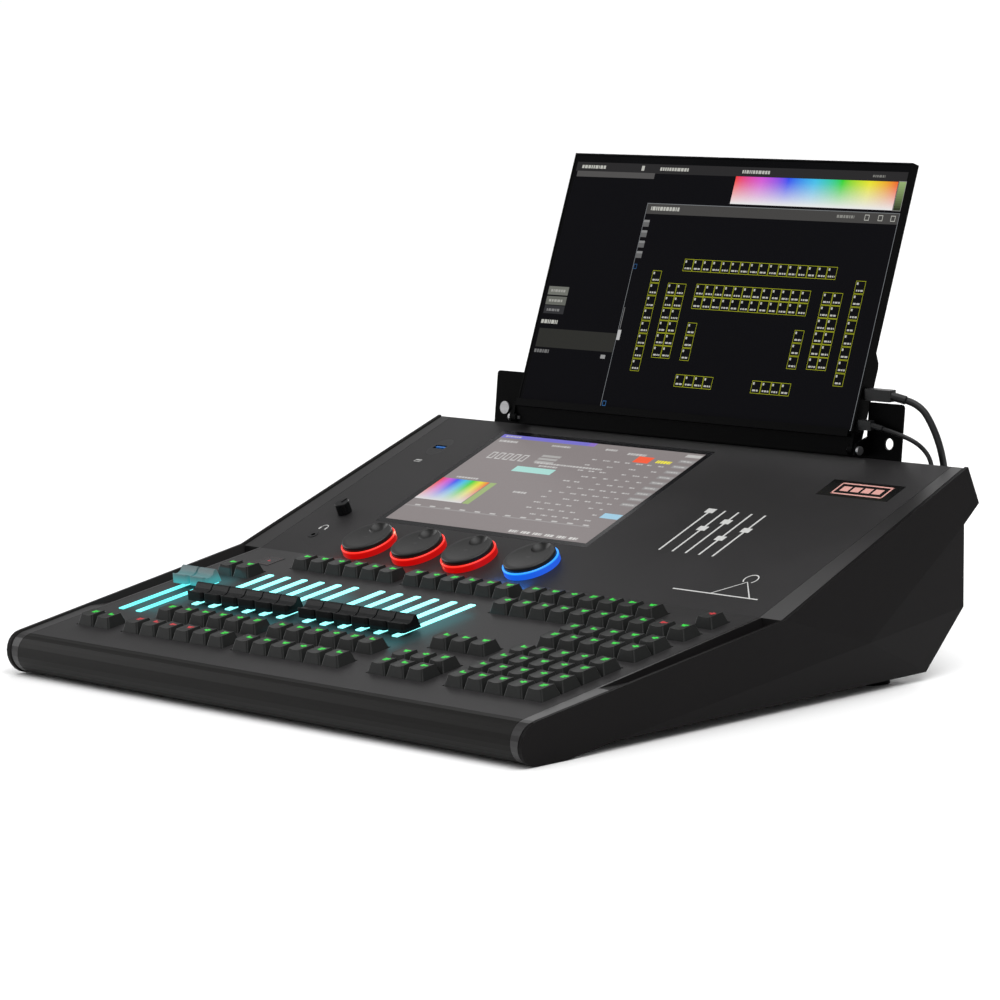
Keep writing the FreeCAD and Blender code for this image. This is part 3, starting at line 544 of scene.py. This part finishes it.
def makeDisplayPicture():
    look = displayLook
    ui = Picture(highSlope, 0.05)
    ui.patch(-180, 36, 62, 199, look["ground"], 0)
    ui.patch(-180, -84, 194, 199, look["tabs"][0])
    ui.patch(-84, -77, 194, 199, look["tabs"][1])
    words(ui, -176, -158, 195.4, 197.4, look["text"])
    words(ui, -176, -156, 187.4, 190.2, look["text"])
    words(ui, -118, -98, 188, 190.4, look["text"])
    words(ui, -62, -50, 190.4, 193, look["text"])
    words(ui, -36, -16, 187.4, 190.4, look["text"])
    for i in range(5):                                    # a row of empty frames
        ui.outline(-166 + 8.6 * i, -160 + 8.6 * i, 162, 172, 1.3, look["text"])
    for i in range(3):
        ui.patch(-114, -94, 172 - 4.6 * i, 175 - 4.6 * i, look["line"], 2)
    words(ui, -112, -40, 161.6, 163.8, look["text"])
    ui.patch(-124, -82, 147.4, 155.4, look["chosen"], 2)
    words(ui, -104, -84, 157.6, 159.8, look["text"])
    words(ui, -94, -80, 117.5, 120, look["text"])
    ui.rainbow(-180, -128, 94.5, 127.5, 25, 0.85, 0.85)
    ui.patch(-127, -120, 94.5, 127.5, look["pickerEnd"], 2)
    words(ui, -168, -144, 129.6, 131.8, look["text"])
    ui.patch(-180, -78, 83, 84.2, look["rule"], 2)
    ui.patch(-72, 20, 83, 84.2, look["rule"], 2)
    for x in np.arange(-170, 15, 16.5):
        ui.patch(x, x + 6, 84.6, 86.2, look["text"], 2)
    stepAcross, stepUp = look["tableStep"]
    for row in range(11):
        y = 91 + stepUp * row
        for column in range(7):
            if dice.random() < look["filled"]:
                x = -62 + stepAcross * column
                words(ui, x, x + dice.uniform(3.5, 7.5), y, y + 1.5, look["text"])
    ui.patch(-22, -6, 178, 187, look["warning"][0], 4)
    words(ui, 0, 15, 180, 184, look["warning"][1], 4)
    for i in range(10):
        y = 194 - stepUp * i
        ui.patch(20, 35.5, y - 1.6, y + 2.6, look["menu"] if i else look["menuTop"], 3)
        words(ui, 22, 33, y - 0.2, y + 1.2, look["text"], 4)
    ui.patch(17, 35.5, 97.5, 104.5, look["menuChosen"], 4)
    for i in range(6):
        words(ui, -48 + 12.6 * i, -39 + 12.6 * i, 64.4, 67.6, look["footText"])
    lit = tinted("displayPicture", look["brightness"], 0.35, Specular_IOR_Level=0.12)
    ui.make("desk_display_picture", "desk", lit)


makeDisplayPicture()
print("display picture made")

legendLook = {
    "green": (0.004, 0.48, 0.022),
    "red": (0.38, 0.006, 0.010),
    "brightness": 1.5,
    "behind": 3.0,         # how far behind a cap's middle a legend sits
    "top": 6.72,           # height of a cap's dished top at its middle
    "dish": 24.0,          # radius of that dish
    "lift": 0.05,          # how far a legend stands off the cap
    "base": -0.9,          # height of a cap's lower edge
    "hollow": (12, 17),    # width of the empty space inside a cap
    "halfRow": 9.3,        # just under half the distance between two rows
    "redKeys": {"lower_playback_keys": [0, 1, 2, 3], "command_keys": [8], "function_keys": [7]},
}
# bars of each sign: left, right, lower and upper edge
legendShapes = [
    [(-3.0, 3.0, -0.1, 1.7), (-2.0, 1.4, -1.8, -0.1)],
    [(-2.8, 2.8, -1.6, 0.2), (-2.8, -0.9, 0.2, 2.0)],
    [(-1.1, 1.1, -2.0, 2.0), (-2.9, 2.9, -0.8, 0.9)],
    [(-3.0, -0.3, -1.7, 1.7), (-0.3, 3.0, -0.9, 0.9)],
    [(-2.6, 2.6, 0.7, 2.1), (-2.6, 2.6, -0.8, 0.4), (-2.6, 1.0, -2.1, -1.0)],
]


def keyCentres(node):
    # A cap's hollow is the only wide empty stretch at its base, so its middle is the cap's middle.
    look = legendLook
    points = lowSlope.local(nodePoints(node)) / mm
    base = points[np.abs(points[:, 2] - look["base"]) < 0.03]

    def middles(values):
        values = np.sort(values)
        step = np.diff(values)
        wide = (step > look["hollow"][0]) & (step < look["hollow"][1])
        return (values[:-1] + values[1:])[wide] / 2

    found = []
    for up in middles(base[:, 1]):
        row = base[np.abs(base[:, 1] - up) < look["halfRow"]]
        found += [(across, up) for across in middles(row[:, 0])]
    return found


def makeLegends(finish):
    look = legendLook
    for node in [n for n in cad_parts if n.endswith("_keys")]:
        reds = look["redKeys"].get(node, [])
        picture = Picture(lowSlope, 0)
        for i, (across, up) in enumerate(keyCentres(node)):
            colour = look["red"] if i in reds else look["green"]
            for x0, x1, y0, y1 in legendShapes[(i * 7 + len(node)) % len(legendShapes)]:
                # the mark follows the dish: height = top + across squared / (2 * radius)
                x = np.linspace(x0, x1, 5)[None]
                y = np.array([y0, y1])[:, None] + up + look["behind"]
                height = look["top"] + look["lift"] + x ** 2 / (2 * look["dish"])
                grid = np.stack(np.broadcast_arrays(x + across, y, height), -1)
                tint = np.tile(colour, (grid.size // 3, 1))
                picture.put(grid.reshape(-1, 3), gridFaces(*grid.shape[:2]), tint)
        picture.make("legends_" + node, node + "_body", finish)


statusLook = {"frame": (0.035, 0, 0.002), "mark": (0.30, 0.004, 0.012), "inset": 1.5, "line": 0.3}


def makeStatusSign(finish):
    # a framed mark on the small pane
    look = statusLook
    low, high = (edge / mm for edge in lowSlope.span("status_pane"))
    sign = Picture(lowSlope, high[2])
    left, front = low[:2] + look["inset"]
    right, rear = high[:2] - look["inset"]
    sign.outline(left, right, front, rear, look["line"], look["frame"])
    across, up = (low[0] + high[0]) / 2, (low[1] + high[1]) / 2
    sign.patch(across - 1.2, across + 2.2, up - 0.7, up + 0.3, look["mark"])
    sign.patch(across - 1.2, across - 0.2, up + 0.3, up + 2.2, look["mark"])
    sign.make("status_sign", "desk", finish)


legendGlow = tinted("legendGlow", legendLook["brightness"], 0.5)
makeLegends(legendGlow)
makeStatusSign(legendGlow)
dress(keyPlastic, *[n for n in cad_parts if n.endswith("_keys")])
print("legends made")

marksLook = {
    "silver": (0.55, 0.55, 0.54),
    "frame": (0.70, 0.36, 0.32),
    "plate": (0.004, 0.004, 0.004),
    "firstSlider": 106,
    "sliderStep": 13,
    "sliderSpan": (66, 126),
    "sliderKnobs": (124, 100, 112, 90, 104),     # middle of each knob
    "blocks": (192, 4, 10),                      # first block on the badge, how many, step
}


def tintedInk(name, base, rough, scale, share, speck):
    # a printed colour that the piece's own points carry, with faint specks
    ink = Finish(name, base, rough)
    tint = ink.add("Attribute", {"attribute_name": "tint"}, {}, "Color")
    ink.feed("Base Color", ink.mix(ink.noise(scale, 2) * share, tint, speck))
    return ink


def ring(x, y, radius, first, last, steps=24):
    # points round a circle: middle plus radius times (cos, sin)
    turn = np.radians(np.linspace(first, last, steps))
    return np.stack([x + radius * np.cos(turn), y + radius * np.sin(turn)], 1)


def makeMarks():
    silver = marksLook["silver"]
    marks = Picture(highSlope, 0.04)
    marks.ribbon(ring(-226.4, 38.6, 3.4, -10, 190), 0.7, silver)      # headphone bow
    marks.patch(-230.6, -228.8, 35.6, 38.8, silver)
    marks.patch(-224.0, -222.2, 35.6, 38.8, silver)
    marks.outline(-232.4, -225.4, 145.6, 149.2, 0.5, silver)          # data socket sign
    marks.patch(-231.2, -226.6, 147.6, 148.4, silver)
    for i, knob in enumerate(marksLook["sliderKnobs"]):               # sliders as a plain emblem
        x = marksLook["firstSlider"] + marksLook["sliderStep"] * i
        marks.patch(x - 0.9, x + 0.9, *marksLook["sliderSpan"], silver)
        marks.patch(x - 4.2, x + 4.2, knob - 3, knob + 3, silver, 2)
    marks.patch(160, 240, 20, 21.2, silver)                           # a plain lamp and its beam
    marks.ribbon([(196, 21), (214, 40), (232, 21)], 1.0, silver, 2)
    marks.ribbon(ring(214, 44, 5.6, -50, 230), 1.0, silver, 2)
    ink = tintedInk("panelInk", silver, 0.35, 700, 0.2, (0.2, 0.2, 0.2, 1))
    marks.make("panel_marks", "desk", ink)
    badge = Picture(highSlope, 0.05)
    badge.patch(176, 243, 161.5, 183.7, marksLook["plate"])
    badge.outline(187, 235, 164.8, 180.6, 1.5, marksLook["frame"], 2)
    first, count, step = marksLook["blocks"]
    for x in range(first, first + count * step, step):
        badge.patch(x, x + 7.6, 169.4, 176, marksLook["frame"], 2)
    gloss = tintedInk("badgeInk", marksLook["plate"], 0.16, 600, 0.15, (0.01, 0.01, 0.01, 1))
    badge.make("blank_badge", "desk", gloss)


makeMarks()
print("panel marks made")


def alongSlope(finish, slope, axis):
    # a point's place on a slope, in metres: 0 across, 1 up the slope, 2 out of it
    return finish.along(tuple(slope.axes[axis])) - float(slope.start[axis])


stripLook = {
    "brightness": 2.2,
    "deep": (0.01, 0.34, 0.36, 1),
    "pale": (0.30, 0.95, 0.92, 1),
    "paleFrom": (-0.212, -0.198),      # across: between the two masters and the other strips
}


def stripFinish():
    # paler where the other strips stand close together, deeper at the two on the left
    look = stripLook
    finish = Finish("stripLight", (0.05, 0.2, 0.2), 0.3, Emission_Strength=look["brightness"])
    crowd = finish.along((1, 0, 0)).smooth(*look["paleFrom"])
    glow = finish.noise(60, 2) * 0.5 + crowd * 0.5
    finish.feed("Emission Color", finish.mix(glow, look["deep"], look["pale"]))
    return finish


masterLook = {
    "brightness": 0.8,
    "top": (0.012, 0.030, 0.032, 1),
    "foot": (0.0, 0.30, 0.32, 1),
    "fade": (0.003, 0.012),            # heights between which the foot's light fades
}


def masterFinish():
    # clouded clear plastic that the strip below lights from underneath
    look = masterLook
    finish = Finish("masterCap", (0.085, 0.115, 0.12), 0.38, Emission_Strength=look["brightness"])
    low = 1 - alongSlope(finish, lowSlope, 2).smooth(*look["fade"])
    finish.feed("Emission Color", finish.mix(low, look["top"], look["foot"]))
    finish.feed("Roughness", finish.noise(500, 2) * 0.12 + 0.32)
    return finish


# Colours are for the ring's foot, its rim and its hot spots.
ringLook = {
    "brightness": 1.5,
    "red": ((0.30, 0.0, 0.0, 1), (0.85, 0.02, 0.01, 1), (1, 0.35, 0.2, 1)),
    "blue": ((0.0, 0.07, 0.50, 1), (0.01, 0.30, 1.0, 1), (0.35, 0.75, 1, 1)),
    "blueFrom": (-0.0165, -0.0160),    # across: between the third and the last ring
    "rimFrom": (0.0038, 0.0053),       # heights
    "spotsFrom": (0.001, 0.003),
    "spotEdge": (0.70, 0.76),
    "spotShare": 0.7,
}


def ringFinish():
    # red for the first three and blue for the last, brightest along the rim with a few hot spots
    look = ringLook
    finish = Finish("ringLight", (0.03, 0.005, 0.005), 0.3, Emission_Strength=look["brightness"])
    height = alongSlope(finish, highSlope, 2)
    last = finish.along((1, 0, 0)).smooth(*look["blueFrom"])
    rim = height.smooth(*look["rimFrom"])
    spots = finish.noise(95, 1).smooth(*look["spotEdge"]) * height.smooth(*look["spotsFrom"])
    foot, edge, hot = (finish.mix(last, red, blue) for red, blue in zip(look["red"], look["blue"]))
    glow = finish.mix(rim, foot, edge)
    finish.feed("Emission Color", finish.mix(spots * look["spotShare"], glow, hot))
    return finish


# The data socket's tongue, in metres on the upper slope.
socketLook = {
    "tongue": (0.03, 0.25, 0.85, 1),
    "across": (-0.2322, -0.2208),
    "up": (0.1705, 0.1725),
    "top": -0.0006,
    "soft": 0.0001,
}


def socketFinish():
    # dark plates, and a blue tongue deep in the data socket
    look = socketLook
    finish = coated("panelSocket", (0.006, 0.006, 0.0065), 0.3, 1300, 0.2, Specular_IOR_Level=0.3)
    across = finish.along((1, 0, 0)).within(*look["across"], look["soft"])
    up = alongSlope(finish, highSlope, 1).within(*look["up"], look["soft"])
    deep = 1 - alongSlope(finish, highSlope, 2).over(look["top"], look["soft"])
    finish.feed("Base Color", finish.mix(across * up * deep, finish.tone, look["tongue"]))
    return finish


dress(stripFinish(), "fader_light_strips")
dress(masterFinish(), "fader_cap_13", "fader_cap_14")
dress(ringFinish(), "encoder_rings")
dress(socketFinish(), "panel_sockets")
dress(capPlastic, *["fader_cap_%02d" % i for i in range(1, 13)])
dress(knobPlastic, *["encoder_knob_%d" % i for i in range(1, 5)])
dress(capPlastic, "volume_knob")

dress(panelCoat, "control_panel")
dress(caseCoat, "base_tray", "rear_panel")
dress(cheekCoatAndPaintedLight, "cheek_left", "cheek_right")
dress(trimCoat, "side_trims")
dress(railMetal, "front_rail")
dress(footRubber, "rubber_feet")
dress(steel, "screws", "bracket_pins", "power_supply")
dress(bracketCoat, "monitor_bracket", "monitor_cradle", "monitor_housing")
dress(innerPlastic, "display_module", "key_switches", "fader_bodies", "encoder_bodies", "key_board")
dress(boardMask, "main_board")
dress(monitorGlass, "monitor_glass")
dress(deskGlass, "display_glass", "status_pane")
dress(socketPlastic, "rear_connectors", "power_rocker")
dress(leadRubber, "monitor_plugs", "rear_plugs")
print("CAD pieces dressed")

pictureLead = {
    "route": [
        (0.2073, 0.1958, 0.1880), (0.2171, 0.1999, 0.1852), (0.2255, 0.2044, 0.1690),
        (0.2305, 0.2079, 0.1490), (0.2260, 0.2164, 0.1260), (0.2150, 0.2249, 0.1040),
        (0.2000, 0.2324, 0.0820), (0.1900, 0.2234, 0.0620), (0.1900, 0.2047, 0.0620),
    ],
    "length": 0.168,
    "thick": 0.0052,
}
dataLead = {
    "route": [
        (0.1963, 0.1831, 0.1679), (0.2072, 0.1836, 0.1661), (0.2236, 0.1920, 0.1580),
        (0.2225, 0.2069, 0.1425), (0.2115, 0.2149, 0.1220), (0.1950, 0.2199, 0.1025),
        (0.1750, 0.2239, 0.0840), (0.1620, 0.2189, 0.0680), (0.1620, 0.2047, 0.0680),
    ],
    "length": 0.162,
    "thick": 0.0034,
}


def smoothLine(name, route):
    # a NURBS line with the route as its control points, read back as points
    curve = bpy.data.curves.new(name, "CURVE")
    curve.dimensions = "3D"
    spline = curve.splines.new("NURBS")
    spline.points.add(len(route) - 1)
    spline.points.foreach_set("co", [v for p in route for v in (*p, 1)])
    spline.order_u = 3
    spline.use_endpoint_u = True
    spline.resolution_u = 12
    holder = bpy.data.objects.new(name, curve)
    mesh = bpy.data.meshes.new_from_object(holder)
    points = np.array([v.co for v in mesh.vertices])
    bpy.data.meshes.remove(mesh)
    bpy.data.objects.remove(holder)
    return points


leadSides = 16


def tube(line, radius):
    # circles carried along a line: point + radius * (cos * side + sin * up), with side square to
    # the run and nearest to a guide direction that the line never follows
    run = np.gradient(line, axis=0)
    run /= np.linalg.norm(run, axis=1)[:, None]
    guide = np.array([-0.5, 0.6, 0.6])
    side = guide - (run @ guide)[:, None] * run
    side /= np.linalg.norm(side, axis=1)[:, None]
    up = np.cross(run, side)
    turn = np.linspace(0, 2 * np.pi, leadSides, endpoint=False)
    cos, sin = np.cos(turn)[None, :, None], np.sin(turn)[None, :, None]
    circle = cos * side[:, None] + sin * up[:, None]
    points = (line[:, None] + radius * circle).reshape(-1, 3)
    return points, gridFaces(len(line), leadSides, True)


def makeLead(name, lead, node):
    line = smoothLine(name + "_line", lead["route"])
    points, faces = tube(line, lead["thick"] / 2)
    last = len(points) - leadSides
    ends = [list(range(leadSides))[::-1], list(range(last, len(points)))]
    faces = faces.tolist() + ends
    piece = makePiece(name, points, faces, None, leadRubber, smooth=True)
    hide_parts(node)
    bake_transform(piece)


makeLead("picture_lead", pictureLead, "hdmi_cable")
makeLead("data_lead", dataLead, "usb_cable")
print("leads made")


studio = {
    "backdrop": 0.95,      # how bright the surround looks
    "surround": 0.36,      # how much it lights the desk
    # direction, power, spread in degrees; the last two mostly reach the rear and the left side
    "suns": {
        "wideSoft": ((0.35, -0.15, 1), 1.9, 70),
        "lowRear": ((-0.3, 1, 0.3), 1.6, 40),
        "lowLeft": ((-1, -0.2, 0.3), 0.9, 40),
    },
    # place, aim, size, power
    "areas": {
        "topSoft": ((1.0, -0.3, 1.5), (0.3, -0.05, 0.05), (1.2, 1.4), 11),
        "sideSoft": ((2.2, -1.6, 1.3), (0.1, 0, 0.1), (1.4, 1.4), 3.5),
        "rearSoft": ((-1.4, 1.8, 1.6), (0, 0, 0.1), (1.6, 1.0), 7),
    },
}
floorLook = {
    "tones": ((0.91, 0.91, 0.91, 1), (0.93, 0.93, 0.93, 1)),
    "rings": (0.001, 2, 8, 40),
    "sides": 64,
}


def makeFloor():
    # a disc: radius times (cos, sin), in rings
    turn = np.linspace(0, 2 * np.pi, floorLook["sides"], endpoint=False)
    reach = np.array(floorLook["rings"])[:, None]
    points = np.stack(np.broadcast_arrays(reach * np.cos(turn), reach * np.sin(turn), 0.0), -1)
    faces = gridFaces(*points.shape[:2], True)[:, ::-1].tolist()
    mesh = bpy.data.meshes.new("floor")
    mesh.from_pydata(points.reshape(-1, 3).tolist(), [], faces)
    paper = Finish("floorPaper", (0.92, 0.92, 0.92), 0.7)
    paper.feed("Base Color", paper.mix(paper.noise(2, 3), *floorLook["tones"]))
    mesh.materials.append(paper.material)
    floor = bpy.data.objects.new("floor", mesh)
    bpy.context.scene.collection.objects.link(floor)


def makeLight(name, place, aim, size, power, colour=(1, 1, 1)):
    data = bpy.data.lights.new(name, "AREA")
    data.shape, data.size, data.size_y = "RECTANGLE", size[0], size[1]
    data.energy, data.color = power, colour
    lamp = bpy.data.objects.new(name, data)
    bpy.context.scene.collection.objects.link(lamp)
    turn = (Vector(aim) - Vector(place)).to_track_quat("-Z", "Y")
    lamp.matrix_world = Matrix.Translation(Vector(place)) @ turn.to_matrix().to_4x4()
    return lamp


def makeSun(name, direction, power, spread):
    data = bpy.data.lights.new(name, "SUN")
    data.energy, data.angle = power, math.radians(spread)
    lamp = bpy.data.objects.new(name, data)
    bpy.context.scene.collection.objects.link(lamp)
    lamp.matrix_world = Vector(direction).to_track_quat("Z", "Y").to_matrix().to_4x4()


def makeStudio():
    # the surround looks pale, but lights the desk less than it shows
    world = bpy.data.worlds.new("studio")
    nodes = Nodes(world)
    background = nodes.tree.nodes["Background"]
    background.inputs["Color"].default_value = (1, 1, 1, 1)
    seen = nodes.add("LightPath", {}, {}, "Is Camera Ray")
    ends = {"To Min": studio["surround"], "To Max": studio["backdrop"]}
    level = nodes.add("MapRange", {}, {"Value": seen, **ends}, "Result")
    nodes.tree.links.new(level.socket, background.inputs["Strength"])
    bpy.context.scene.world = world
    bpy.context.scene.view_settings.view_transform = "Standard"  # keeps the lit colours pure
    for name, values in studio["suns"].items():
        makeSun(name, *values)
    for name, values in studio["areas"].items():
        makeLight(name, *values)


# What the lit parts throw on the panel: slope, middle and size in millimetres, power, colour.
stripMiddle = float(np.mean(lowSlope.span("fader_light_strips"), 0)[1]) / mm
glows = [
    (lowSlope, (-229, stripMiddle, 5), (34, 84), 0.010, (0.0, 0.9, 1.0)),
    (lowSlope, (-134, stripMiddle, 5), (112, 84), 0.034, (0.0, 0.9, 1.0)),
    (lowSlope, (-11, stripMiddle, 5), (112, 84), 0.034, (0.0, 0.9, 1.0)),
    (highSlope, (-157.5, -2, 7), (36, 5), 0.005, (1.0, 0.02, 0.01)),
    (highSlope, (-102.7, -2, 7), (36, 5), 0.005, (1.0, 0.02, 0.01)),
    (highSlope, (-47.9, -2, 7), (36, 5), 0.005, (1.0, 0.02, 0.01)),
    (highSlope, (16.0, -1, 7), (38, 6), 0.016, (0.01, 0.25, 1.0)),
]


def makeGlows():
    # each shines straight down on its slope, and the camera doesn't see it
    for i, (slope, (across, up, out), size, power, colour) in enumerate(glows):
        place, below = slope.place(np.array([(across, up, out), (across, up, 0)]) * mm)
        size = [side * mm for side in size]
        makeLight("glow_%d" % i, place, below, size, power, colour).visible_camera = False


makeFloor()
makeStudio()
makeGlows()
print("floor and lights made")
